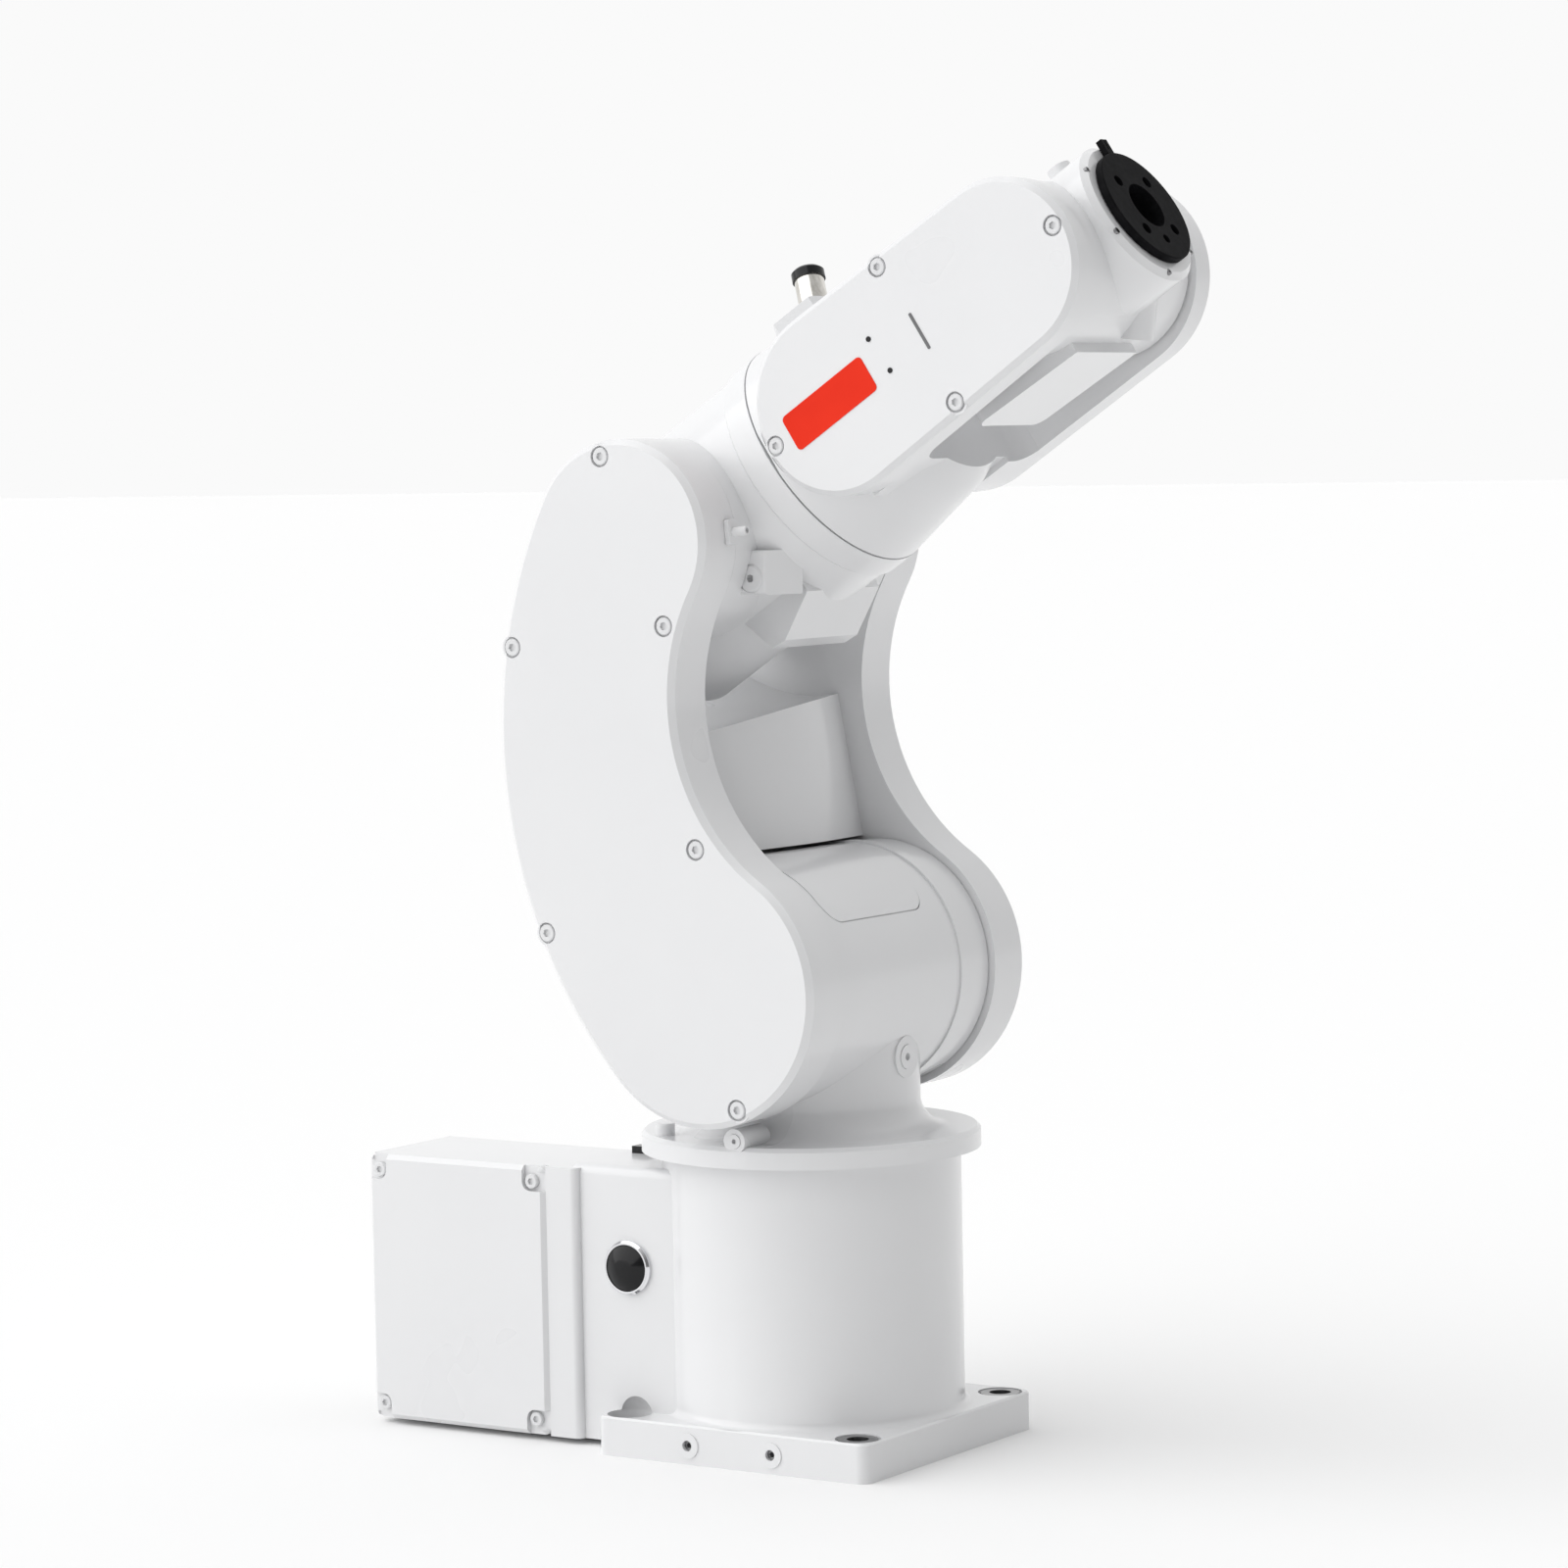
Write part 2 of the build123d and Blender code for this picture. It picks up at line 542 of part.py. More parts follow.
def lower_arm_belt_casting():
    """The tub on the -Y side that the belt runs in, with the hubs that carry the drives."""
    body = slab_y(bean(), COVER_SEAM, -ARM_INNER)
    pocket = slab_y(bean(ARM_WALL), COVER_SEAM - 1, -ARM_INNER - 4.2)
    body -= pocket - holes_y(ARM_COVER_SCREWS, 4.6, -ARM_OUTER, -ARM_INNER)
    body += rod_y(28.6, -ARM_INNER, -52)
    body += rod_y(23.6, -ARM_INNER, -52, 0, LOWER_ARM_LENGTH)
    body -= rod_y(14, -64, -51)
    body -= rod_y(9, -64, -51, 0, LOWER_ARM_LENGTH)
    body -= rod_y(14, -64, -51, MOTOR_PULLEY_T, MOTOR_PULLEY_H)
    body -= holes_y(ARM_COVER_SCREWS, 1.6, -ARM_OUTER, -65)
    return body


def cap_screw_places(h):
    """The (t, h) places of the three screws in the bearing cap at height h."""
    return [polar((0, h), 14, radians(a)) for a in (30, 150, 270)]


def lower_arm_web():
    """The wall between the two sides, swollen to hold the axis 3 motor."""
    wall = slab_y(bean(1.0), -ARM_INNER, ARM_INNER)
    wall &= block(-90, 20, -80, 80, 30, 130)
    wall &= rod_z(160, 0, 200, -152, 10)
    wall -= rod_y(LOBE_2_R - 1.2, -70, 70)
    cone = Pos(0, 0, LOWER_ARM_LENGTH) * Rot(-90, 0, 0) * Cone(80, 68, 2 * ARM_INNER)
    wall -= cone
    wall -= rod_y(26.2, -70, 34, MOTOR_PULLEY_T, MOTOR_PULLEY_H)
    return wall


def lower_arm_bearing_casting():
    """The side plate on the +Y side, with the two trunnions that run in the support bearings."""
    body = slab_y(bean(), ARM_INNER, ARM_OUTER)
    body = bevel(body, "Y", ARM_OUTER, 1.6)
    body -= slab_y(bean(8.0), ARM_INNER + 9, ARM_OUTER - 3.0)
    for h in (0, LOWER_ARM_LENGTH):
        body += rod_y(24, ARM_INNER, ARM_OUTER - 1, 0, h)
        body += rod_y(TRUNNION_R, 46, ARM_INNER + 1, 0, h)
        body -= rod_y(19, ARM_OUTER - 2.4, ARM_OUTER + 1, 0, h)
        body -= rod_y(10, 45, ARM_OUTER, 0, h)
        body -= holes_y(cap_screw_places(h), 1.6, ARM_OUTER - 10, ARM_OUTER)
    return body


def lower_arm_bearing_caps():
    caps = []
    for h in (0, LOWER_ARM_LENGTH):
        cap = bevel(rod_y(18.8, ARM_OUTER - 2.4, ARM_OUTER + 0.6, 0, h), "Y", ARM_OUTER + 0.6, 0.6)
        cap -= holes_y(cap_screw_places(h), 1.7, ARM_OUTER - 3, ARM_OUTER + 1)
        caps.append(cap)
    return Compound(caps)


def lower_arm_cover():
    body = slab_y(bean(), -ARM_OUTER, COVER_SEAM)
    body = bevel(body, "Y", -ARM_OUTER, COVER_BEVEL)
    body -= slab_y(bean(10.0), -ARM_OUTER + 1.8, COVER_SEAM + 1)
    body += holes_y(ARM_COVER_SCREWS, 5.2, -ARM_OUTER + 1.0, COVER_SEAM)
    body -= holes_y(ARM_COVER_SCREWS, 4.3, -ARM_OUTER - 1, -ARM_OUTER + 2.0)
    return body - holes_y(ARM_COVER_SCREWS, 1.7, -ARM_OUTER - 1, COVER_SEAM + 1)


def lower_arm_screws():
    """The twelve equal screws of the long cover and of the two bearing caps."""
    near = [Pos(x, -ARM_OUTER + 0.1, z) * FACING["-Y"] for x, z in ARM_COVER_SCREWS]
    far = [Pos(x, ARM_OUTER + 2.5, z) * FACING["+Y"]
           for h in (0, LOWER_ARM_LENGTH) for x, z in cap_screw_places(h)]
    one = cap_screw(head_r=3.5, head_h=1.9, shank=8.0)
    return Compound([place * one for place in near + far])


def a3_motor():
    placed = Pos(MOTOR_PULLEY_T, 30, MOTOR_PULLEY_H) * Rot(90, 0, 0)
    return placed * (rod_z(26, 0, 90 - 1.8) - rod_z(27, 20, 22) + rod_z(24.8, 20, 22))


A3_BELT = (-76.2, -67.2)


def a3_belt():
    return belt_y((MOTOR_PULLEY_T, MOTOR_PULLEY_H), A3_PULLEY_R + BELT_GAP,
                  (0, LOWER_ARM_LENGTH), A3_PULLEY_R + BELT_GAP - 0.001, A3_BELT[0] + 1.2, A3_BELT[1] - 1.2)


def a3_motor_pulley():
    wheel = Pos(MOTOR_PULLEY_T, 0, MOTOR_PULLEY_H) * pulley_y(A3_PULLEY_R, *A3_BELT, 4, 2.0, 2.0)
    return wheel + rod_y(5, A3_BELT[1], -58.8, MOTOR_PULLEY_T, MOTOR_PULLEY_H)


def a3_input_pulley():
    wheel = Pos(0, 0, LOWER_ARM_LENGTH) * pulley_y(A3_PULLEY_R, *A3_BELT, 5, 2.0, 2.0)
    places = [polar((0, LOWER_ARM_LENGTH), 10, radians(a)) for a in range(0, 360, 60)]
    wheel -= holes_y(places, 2, -80, -60)
    return wheel + rod_y(6, A3_BELT[1], -40, 0, LOWER_ARM_LENGTH)


def elbow_index_pin():
    """A pad and pin on the lower arm's rim that face the elbow, for setting axis 3 to zero."""
    pad = fillet(block(LOBE_3_R + 0.05, LOBE_3_R + 2.2, -66, -59.5, -5, 5).edges().filter_by(Axis.X), 1.2)
    pin = rod_x(1.9, LOBE_3_R + 2.2, LOBE_3_R + 8.5, -62.5, 0)
    pin -= rod_x(1.1, LOBE_3_R + 6.5, LOBE_3_R + 9, -62.5, 0)
    return Pos(AXIS_3_X, 0, AXIS_3_HEIGHT) * Rot(0, -5, 0) * (pad + pin)


# ---------------------------------------------------------------- elbow pieces (forearm frame)
PLUG_PLACE = (25.6, -34.7)
PLUG_R = 5.6
REAR_CAP_SCREWS = [(40 * cos(radians(a)), 40 * sin(radians(a))) for a in (45, 135, 225, 315)]


def elbow_casting():
    body = rod_y(LOBE_3_R - 0.2, -BARREL_HALF, BARREL_HALF)
    body += rod_x(ELBOW_R, ELBOW_REAR, 50)
    body += bevel(rod_x(ELBOW_RIM_R, 49, SEAM_4), "X", 49, 1.2)
    body += elbow_pad() + elbow_stop()
    body -= rod_x(44.6, ELBOW_REAR - 1, SEAM_4 + 1)
    body -= rod_y(34, -BARREL_HALF - 1, 44)
    body -= rod_y(BEARING_OUTER_R, 43, BARREL_HALF + 1)
    body -= rod_y(PLUG_R + 0.1, -48, -42, *PLUG_PLACE)
    for y, v in REAR_CAP_SCREWS:
        boss = rod_x(5, ELBOW_REAR, ELBOW_REAR + 12, y, v)
        body += boss
        body -= rod_x(1.6, ELBOW_REAR - 1, ELBOW_REAR + 10, y, v)
    return body


def elbow_pad():
    """The level pad for the elbow's plug. It runs back into the round body on its +X side."""
    outline = make_face(Polyline((34.2, -47.0), (47.0, -47.0), (54.0, -30.0), (34.2, -30.0), close=True))
    pad = Pos(0, 0, -21.7) * extrude(outline, 17.7)
    pad = fillet(pad.edges().filter_by(lambda e: all(abs(v.Y + 47.0) < 1e-4 for v in e.vertices())), 1.5)
    return (Rot(0, FOREARM_RISE, 0) * pad) & rod_x(80, 0, 47)


def elbow_stop():
    """The bar under the elbow that meets the lower arm at the end of axis 3's travel."""
    outline = make_face(Polyline((1, -40), (7, -57), (14, -57.5), (34, -47), (34, -40), close=True))
    return slab_y(outline, -27, 27)


def elbow_rear_cap():
    cap = rod_x(ELBOW_R, ELBOW_REAR - 5, ELBOW_REAR)
    cap = bevel(cap, "X", ELBOW_REAR - 5, 4.2)
    for y, v in REAR_CAP_SCREWS:
        cap -= rod_x(1.7, ELBOW_REAR - 6, ELBOW_REAR + 1, y, v)
        cap -= rod_x(3.6, ELBOW_REAR - 6, ELBOW_REAR - 2.6, y, v)
    return cap


def elbow_rear_cap_screws():
    places = [(ELBOW_REAR - 4.8, y, v) for y, v in REAR_CAP_SCREWS]
    return screws(places, "-X", head_r=3.3, head_h=2.0, shank=8.0)


def elbow_plug():
    plug = rod_y(PLUG_R, -47.6, -42, *PLUG_PLACE)
    plug = bevel(plug, "Y", -47.6, 0.8)
    return plug - rod_y(1.6, -48, -44, *PLUG_PLACE)


def a3_reducer():
    body = rod_y(33.9, -BARREL_HALF + 0.2, -36)
    body -= rod_y(24.2, -BARREL_HALF - 1, -51)
    return body - rod_y(6.5, -52, -35)


def a3_support_bearing():
    return ring_bearing(BEARING_OUTER_R, BEARING_BORE_R, 45, 56)


def a4_motor():
    return Pos(-42, 0, 0) * Rot(0, 90, 0) * servo_motor(25, 79, 6, 6)


def a4_reducer():
    body = rod_x(44.5, 37, 58)
    body -= rod_x(26.5, 53, 59)
    return body - rod_x(7, 36, 54)


# ---------------------------------------------------------------- forearm pieces (forearm frame)
FOREARM_COVER_SCREWS = [(67.6, 0.5), (145.8, 31.6), (145.8, -31.6), (219.0, -0.5)]
FOREARM_COVER_SEAM = -FOREARM_HALF + FOREARM_COVER_THICK
A5_MOTOR_X = 91.0
A5_MOTOR_R = 18.0
A5_PULLEY_R = 8.0
A5_INPUT_R = 14.0
A5_BELT = (-49.2, -43.2)
FITTING_X = 75.5
FITTING_TURN = 16.5
FITTING_PITCH = 10.0
FITTING_TUBE_R = 3.0
FITTING_BASE_R = 57.5
FITTING_NECK = 19.0
FITTING_TOP = 23.5
FOREARM_PROFILE = [(FOREARM_START, 0), (FOREARM_START, 50.8), (104, 45.2), (FORK_ROOT, 38.0), (FORK_ROOT, 0)]


def forearm_tub(x0, x1):
    """The part of the -Y side arm between two stations along the forearm."""
    body = slab_y(forearm_outline(), FOREARM_COVER_SEAM, FORK_INNER_LEFT)
    pocket = slab_y(forearm_outline(3.6), FOREARM_COVER_SEAM - 1, FORK_INNER_LEFT - 4)
    body -= pocket - holes_y(FOREARM_COVER_SCREWS, 4.4, -FOREARM_HALF, FORK_INNER_LEFT)
    body -= holes_y(FOREARM_COVER_SCREWS, 1.6, -FOREARM_HALF, FORK_INNER_LEFT - 3)
    return body & block(x0, x1, -60, 60, -60, 60)


def forearm_body():
    """The round part of the forearm, narrowing from the elbow seam to the fork's root."""
    return revolve(Plane.XY * make_face(Polyline(*FOREARM_PROFILE, close=True)), Axis.X)


def far_side(y0, y1):
    """The outline of the +Y side arm, as a slab."""
    outline = tapered_slot(FAR_SIDE_START, FAR_SIDE_R, FAR_SIDE_END, FAR_SIDE_R - 0.01)
    return Pos(0, 0, -FAR_SIDE_DROP) * slab_y(outline, y0, y1)


def fork_gap():
    """The space between the fork's arms at its root, with round corners."""
    gap = block(FORK_FLOOR, FORK_ROOT + 10, FORK_INNER_LEFT, FORK_INNER_RIGHT, -60, 60)
    return fillet(gap.edges().filter_by(Axis.Z).group_by(Axis.X)[0], 9)


def forearm_casting():
    side = bevel(far_side(26, FOREARM_HALF), "Y", FOREARM_HALF, 1.6)
    core = block(88, FORK_ROOT, FORK_INNER_LEFT, 40, -36.8, 36.8)
    body = forearm_body() + core + (side & block(60, FORK_ROOT, -60, 60, -60, 60))
    body &= block(FOREARM_START, FORK_ROOT, FORK_INNER_LEFT, FOREARM_HALF, -60, 60)
    body -= fork_gap()
    shoulder = forearm_body() & block(FOREARM_START, FORK_ROOT, -50, FORK_INNER_LEFT, -60, 60)
    shoulder -= slab_y(forearm_outline(), -60, FORK_INNER_LEFT)
    body += forearm_tub(FOREARM_START, FORK_ROOT) + shoulder + fitting_pad()
    body += rod_x(26, 58.4, FOREARM_START + 2)
    body -= rod_x(12, 50, 70)
    body -= rod_y(A5_MOTOR_R + 0.2, FORK_INNER_LEFT - 1, 30, A5_MOTOR_X, 0)
    return body - rod_y(7, -45, FORK_INNER_LEFT, A5_MOTOR_X, 0)


def fitting_pad():
    """The raised band on top of the forearm that the air fitting screws into."""
    band = rod_x(FITTING_BASE_R, 66, 90) - rod_x(40, 60, 100)
    wedge = make_face(Polyline((0, 0), (-12, 90), (70, 90), close=True))
    band &= extrude(Plane.YZ * wedge, 120)
    post = Rot(-FITTING_TURN, 0, 0) * Pos(FITTING_X, 0, 0) * rod_z(8.4, 40, FITTING_BASE_R)
    return bevel(band, "X", 66, 4.0) + post


def on_boss(shape):
    """Stand a shape on the fitting pad, along the fitting's own axis."""
    seat = Pos(FITTING_X, 0, FITTING_BASE_R) * Rot(0, FITTING_PITCH, 0)
    return Rot(-FITTING_TURN, 0, 0) * seat * shape


def air_fitting_body():
    hexagon = extrude(RegularPolygon(7.4, 6), 5.5)
    body = hexagon + rod_z(6.2, 5.5, FITTING_NECK) - rod_z(FITTING_TUBE_R, 4, 30) - rod_z(1.6, -1, 5)
    return on_boss(body & rod_z(20, 1.4, 30))


def air_fitting_collar():
    collar = bevel(rod_z(6.9, FITTING_NECK, FITTING_TOP), "Z", FITTING_TOP, 1.0)
    collar -= rod_z(FITTING_TUBE_R, 14, 30)
    return on_boss(collar)


def forearm_left_fork():
    body = forearm_tub(FORK_ROOT, 240)
    body += rod_y(14.6, FORK_INNER_LEFT - 0.5, -33.2, AXIS_5, 0)
    return body - rod_y(5.4, -44, -33, AXIS_5, 0)


def forearm_right_fork():
    body = bevel(far_side(FORK_INNER_RIGHT, FOREARM_HALF), "Y", FOREARM_HALF, 1.6)
    body &= block(FORK_ROOT, 240, -60, 60, -60, 60)
    body -= rod_y(22, FOREARM_HALF - 3, FOREARM_HALF + 1, AXIS_5, 0)
    return body - rod_y(15.0, FORK_INNER_RIGHT - 1, FOREARM_HALF, AXIS_5, 0)


def a5_bearing_cap():
    cap = bevel(rod_y(21.8, FOREARM_HALF - 3, FOREARM_HALF + 0.4, AXIS_5, 0), "Y", FOREARM_HALF + 0.4, 0.6)
    return cap


def a5_support_bearing():
    return Pos(AXIS_5, 0, 0) * ring_bearing(15.0, 8.05, FORK_INNER_RIGHT + 1, FOREARM_HALF - 3.4)


def forearm_cover():
    body = slab_y(forearm_outline(), -FOREARM_HALF, FOREARM_COVER_SEAM)
    body = bevel(body, "Y", -FOREARM_HALF, 2.2)
    body -= slab_y(forearm_outline(9.0), -FOREARM_HALF + 1.6, FOREARM_COVER_SEAM + 1)
    body += holes_y(FOREARM_COVER_SCREWS, 5.0, -FOREARM_HALF + 1.0, FOREARM_COVER_SEAM)
    body -= holes_y(FOREARM_COVER_SCREWS, 4.1, -FOREARM_HALF - 1, -FOREARM_HALF + 2.0)
    return body - holes_y(FOREARM_COVER_SCREWS, 1.7, -FOREARM_HALF - 1, FOREARM_COVER_SEAM + 1)


def forearm_cover_screws():
    places = [(x, -FOREARM_HALF + 0.1, z) for x, z in FOREARM_COVER_SCREWS]
    return screws(places, "-Y", head_r=3.3, head_h=1.9, shank=6.0)


def a5_motor():
    motor = rod_y(A5_MOTOR_R, FORK_INNER_LEFT + 0.2, 28, A5_MOTOR_X, 0)
    groove = rod_y(A5_MOTOR_R + 1, -10, -8, A5_MOTOR_X, 0) - rod_y(A5_MOTOR_R - 1.2, -10, -8, A5_MOTOR_X, 0)
    return motor - groove


def a5_belt():
    return belt_y((A5_MOTOR_X, 0), A5_INPUT_R + BELT_GAP, (AXIS_5, 0), A5_INPUT_R + BELT_GAP - 0.001,
                  A5_BELT[0] + 1.1, A5_BELT[1] - 1.1)


def a5_motor_pulley():
    wheel = Pos(A5_MOTOR_X, 0, 0) * pulley_y(A5_INPUT_R, *A5_BELT, 4, 1.6, 0.5)
    return wheel + rod_y(4, A5_BELT[1], -38.6, A5_MOTOR_X, 0)


def a5_input_pulley():
    wheel = Pos(AXIS_5, 0, 0) * pulley_y(A5_INPUT_R, *A5_BELT, 4, 1.6, 0.5)
    return wheel + rod_y(4, A5_BELT[1], -22, AXIS_5, 0)


# ---------------------------------------------------------------- wrist and flange pieces
def wrist_casting():
    barrel = rod_y(WRIST_BARREL_R, FORK_INNER_LEFT + 0.4, WRIST_FAR, AXIS_5, 0)
    head = rod_x(HEAD_R, AXIS_5, FACE_LOW)
    rear = wrist_chin()
    body = barrel + head + rear
    body += rod_x(5.5, AXIS_5 + 14, FACE_LOW, 26, 25)
    body += Pos(AXIS_5 + 19, 2, 0) * rod_z(5, 20, 35.5)
    body += Pos(AXIS_5 + 16, 12, -24) * Rot(0, 40, 0) * rod_z(7, -16, 0)
    body += rod_y(8.0, 38, FOREARM_HALF - 4, AXIS_5, 0)
    body -= rod_y(24.1, FORK_INNER_LEFT, -17, AXIS_5, 0)
    body -= rod_x(16.1, AXIS_5 - 48.2, AXIS_5 - 12)
    body -= rod_x(27.5, AXIS_5 + 25, FACE_LOW + 1)
    body -= rod_x(8, AXIS_5 - 20, AXIS_5 + 26)
    return body


def wrist_chin():
    """The housing behind axis 5 that holds the axis 6 servo."""
    outline = make_face(Polyline((AXIS_5, 27), (AXIS_5 - 47, 27), (AXIS_5 - 52, 20), (AXIS_5 - 53, -37),
                                 (AXIS_5, -38.6), close=True))
    chin = slab_y(outline, -28, 19)
    upright = chin.edges().filter_by(lambda e: all(v.X < AXIS_5 - 51 for v in e.vertices()) and
                                     abs(e.center().Y + 4.5) > 20)
    return fillet(upright, 5)


def wrist_face():
    face = rod_x(HEAD_R, FACE_LOW, FACE_HIGH)
    face = bevel(face, "X", FACE_HIGH, 2.4)
    for y, v in FACE_SCREWS:
        face -= rod_x(1.3, FACE_HIGH - 1.2, FACE_HIGH + 1, y, v)
    return face - rod_x(22, FACE_LOW - 1, FACE_HIGH + 1)


FACE_SCREWS = [(29.0 * cos(radians(a)), 29.0 * sin(radians(a))) for a in range(20, 380, 60)]


def wrist_face_screws():
    one = rod_z(1.25, -1.2, 0) - extrude(RegularPolygon(0.7, 6), -0.6)
    return Compound([Pos(FACE_HIGH, y, v) * FACING["+X"] * one for y, v in FACE_SCREWS])


def a5_reducer():
    body = rod_y(24.0, FORK_INNER_LEFT + 0.6, -17, AXIS_5, 0)
    body -= rod_y(15.2, -39, -32.6, AXIS_5, 0)
    return body - rod_y(4.5, -33, -16, AXIS_5, 0)


def a6_drive():
    """Axis 6's servo, which is a single unit: motor, long shaft and reducer."""
    body = rod_x(16.0, AXIS_5 - 48, AXIS_5 - 14) + rod_x(6, AXIS_5 - 14, AXIS_5 + 26)
    return body + rod_x(27.4, AXIS_5 + 25.2, FACE_LOW - 0.2)


def tool_flange():
    disc = rod_x(FLANGE_R, FLANGE_LOW, FLANGE_HIGH) + rod_x(20, FACE_LOW + 0.3, FLANGE_LOW)
    disc = bevel(disc, "X", FLANGE_HIGH, 0.5)
    disc -= rod_x(FLANGE_BORE_R, FACE_LOW, FLANGE_HIGH + 1)
    for k in range(4):
        angle = radians(45 + 90 * k)
        y = FLANGE_PCD / 2 * cos(angle)
        v = FLANGE_PCD / 2 * sin(angle)
        disc -= rod_x(FLANGE_HOLE_R, FACE_LOW, FLANGE_HIGH + 1, y, v)
    return disc - rod_x(2.0, FLANGE_HIGH - 2.4, FLANGE_HIGH + 1, 0, -FLANGE_PCD / 2)


def flange_pointer():
    """The index finger bolted to the flange's rim, used to set axis 6 to zero."""
    finger = block(FLANGE_LOW, FLANGE_LOW + 2.6, -4.2, 0.4, FLANGE_R + 0.02, FLANGE_R + 6.5)
    return finger - block(FLANGE_LOW - 1, FLANGE_LOW + 4, -2.2, -1.6, FLANGE_R + 2, FLANGE_R + 12)


# ---------------------------------------------------------------- every node
PIECES = {
    "base_casting": base_casting,
    "base_bottom_cover": base_bottom_cover,
    "base_side_cover": base_side_cover,
    "base_cover_screws": base_cover_screws,
    "rear_panel": rear_panel,
    "power_connector": power_connector,
    "signal_connector": signal_connector,
    "air_inlets": air_inlets,
    "mounting_bushes": mounting_bushes,
    "plate_side_screws": plate_side_screws,
    "brake_button_bezel": brake_button_bezel,
    "brake_button_cap": brake_button_cap,
    "a1_motor": a1_motor,
    "a1_reducer": a1_reducer,
    "cable_clip": cable_clip,
    "turntable_casting": turntable_casting,
    "service_lid": service_lid,
    "calibration_plugs": calibration_plugs,
    "a2_motor": a2_motor,
    "a2_reducer": a2_reducer,
    "a2_support_bearing": a2_support_bearing,
    "elbow_index_pin": elbow_index_pin,
}

LOWER_ARM_PIECES = {
    "lower_arm_belt_casting": lower_arm_belt_casting,
    "lower_arm_web": lower_arm_web,
    "lower_arm_bearing_casting": lower_arm_bearing_casting,
    "lower_arm_bearing_caps": lower_arm_bearing_caps,
    "lower_arm_cover": lower_arm_cover,
    "lower_arm_screws": lower_arm_screws,
    "a3_motor": a3_motor,
    "a3_belt": a3_belt,
    "a3_motor_pulley": a3_motor_pulley,
    "a3_input_pulley": a3_input_pulley,
}

FOREARM_PIECES = {
    "elbow_casting": elbow_casting,
    "elbow_rear_cap": elbow_rear_cap,
    "elbow_rear_cap_screws": elbow_rear_cap_screws,
    "elbow_plug": elbow_plug,
    "a3_reducer": a3_reducer,
    "a3_support_bearing": a3_support_bearing,
    "a4_motor": a4_motor,
    "a4_reducer": a4_reducer,
    "forearm_casting": forearm_casting,
    "forearm_left_fork": forearm_left_fork,
    "forearm_right_fork": forearm_right_fork,
    "a5_bearing_cap": a5_bearing_cap,
    "a5_support_bearing": a5_support_bearing,
    "forearm_cover": forearm_cover,
    "forearm_cover_screws": forearm_cover_screws,
    "air_fitting_body": air_fitting_body,
    "air_fitting_collar": air_fitting_collar,
    "a5_motor": a5_motor,
    "a5_belt": a5_belt,
    "a5_motor_pulley": a5_motor_pulley,
    "a5_input_pulley": a5_input_pulley,
    "wrist_casting": wrist_casting,
    "wrist_face": wrist_face,
    "wrist_face_screws": wrist_face_screws,
    "a5_reducer": a5_reducer,
    "a6_drive": a6_drive,
    "tool_flange": tool_flange,
    "flange_pointer": flange_pointer,
}


def main():
    os.makedirs("parts", exist_ok=True)
    for name, make in PIECES.items():
        export_step(make(), f"parts/{name}.step")
    for name, make in LOWER_ARM_PIECES.items():
        export_step(in_lower_arm(make()), f"parts/{name}.step")
    for name, make in FOREARM_PIECES.items():
        export_step(in_forearm(make()), f"parts/{name}.step")


main()
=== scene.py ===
"""Looks for the desktop six-axis robot arm: materials, decals, studio and camera."""
import json
from math import cos, radians, sin

import bpy
from mathutils import Matrix, Vector


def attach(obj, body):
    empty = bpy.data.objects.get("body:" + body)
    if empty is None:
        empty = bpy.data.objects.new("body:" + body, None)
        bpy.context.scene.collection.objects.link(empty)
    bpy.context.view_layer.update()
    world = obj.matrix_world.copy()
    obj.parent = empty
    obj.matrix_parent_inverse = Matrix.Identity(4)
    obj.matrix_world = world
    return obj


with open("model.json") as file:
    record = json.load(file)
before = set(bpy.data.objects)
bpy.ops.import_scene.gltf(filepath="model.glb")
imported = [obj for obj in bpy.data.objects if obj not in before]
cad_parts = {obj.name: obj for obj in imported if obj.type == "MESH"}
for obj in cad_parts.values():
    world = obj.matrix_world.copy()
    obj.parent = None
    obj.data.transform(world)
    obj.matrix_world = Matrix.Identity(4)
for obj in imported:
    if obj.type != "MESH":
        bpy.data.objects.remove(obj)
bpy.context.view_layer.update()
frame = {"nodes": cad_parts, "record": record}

# Lengths are in metres and angles in degrees, unless a line says otherwise.

# ---------------------------------------------------------------- the arm, as the CAD has it
AXIS_2_HEIGHT = 0.193
LOWER_ARM_LENGTH = 0.1812
LOWER_ARM_LEAN = 10.7
FOREARM_RISE = 33.0
AXIS_3 = Vector((-LOWER_ARM_LENGTH * sin(radians(LOWER_ARM_LEAN)), 0,
                 AXIS_2_HEIGHT + LOWER_ARM_LENGTH * cos(radians(LOWER_ARM_LEAN))))
FOREARM_COVER_FACE = -0.0518

# ---------------------------------------------------------------- materials
# How many noise features there are to a metre.
ENAMEL_CLOUDS = 9.0
ENAMEL_PEEL = 420.0
METAL_CLOUDS = 60.0
PLASTIC_CLOUDS = 40.0

# The part of a noise's range in which one colour turns into the other.
RAMP_START = 0.3
RAMP_END = 0.7

# How strongly each bump shows, from 0 to 1.
PEEL_STRENGTH = 0.35
STREAK_STRENGTH = 0.25
GRAIN_STRENGTH = 0.3

PEEL_DEPTH = 0.00004
STREAK_DEPTH = 0.00003
COAT_ROUGHNESS = 0.07


def new_material(name):
    """A material with its node tree and its Principled shader."""
    material = bpy.data.materials.new(name)
    material.use_nodes = True
    tree = material.node_tree
    shader = next(n for n in tree.nodes if n.type == "BSDF_PRINCIPLED")
    return material, tree, shader


def add_node(tree, kind, **values):
    """A node with its input sockets set by name."""
    node = tree.nodes.new(kind)
    for key, value in values.items():
        node.inputs[key].default_value = value
    return node


